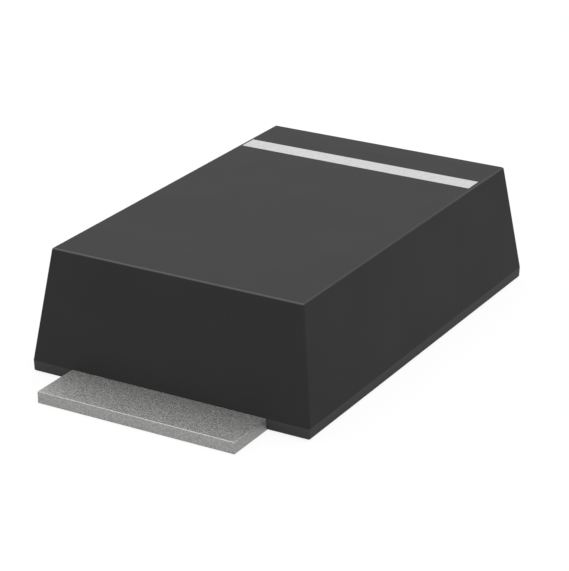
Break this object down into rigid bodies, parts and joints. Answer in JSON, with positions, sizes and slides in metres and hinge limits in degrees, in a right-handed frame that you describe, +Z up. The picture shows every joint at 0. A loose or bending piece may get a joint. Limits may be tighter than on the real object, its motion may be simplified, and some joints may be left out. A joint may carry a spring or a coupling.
{
  "type": "surface mount schottky rectifier diode",
  "caption": "Flat-lead surface mount Schottky rectifier diode: a drafted black moulded body on flat tinned leads, with a printed band across the top at the cathode end.",
  "frame": {"origin": "middle of the plane that the feet of the two leads stand on, under the centre of the body", "axes": "+X from the cathode end toward the anode end, +Z up out of the board, the band lies toward -X"},
  "size_m": [0.0046, 0.0024, 0.001],
  "materials": {
    "moulding_compound": "fine matt black epoxy moulding compound",
    "band_ink": "matt off-white ink",
    "tinned_copper": "matt tin plate on copper",
    "bare_copper": "bare copper sheet",
    "silicon": "polished dark grey silicon",
    "contact_metal": "satin silver metal film",
    "solder": "dull grey solder"
  },
  "bodies": {
    "root": {"moulded_body": "moulding_compound", "cathode_band": "band_ink", "anode_lead": "tinned_copper", "cathode_lead": "tinned_copper", "contact_clip": "bare_copper", "schottky_die": "silicon", "anode_metal": "contact_metal", "cathode_metal": "contact_metal", "die_solder": "solder", "clip_die_solder": "solder", "clip_lead_solder": "solder"}
  },
  "joints": []
}
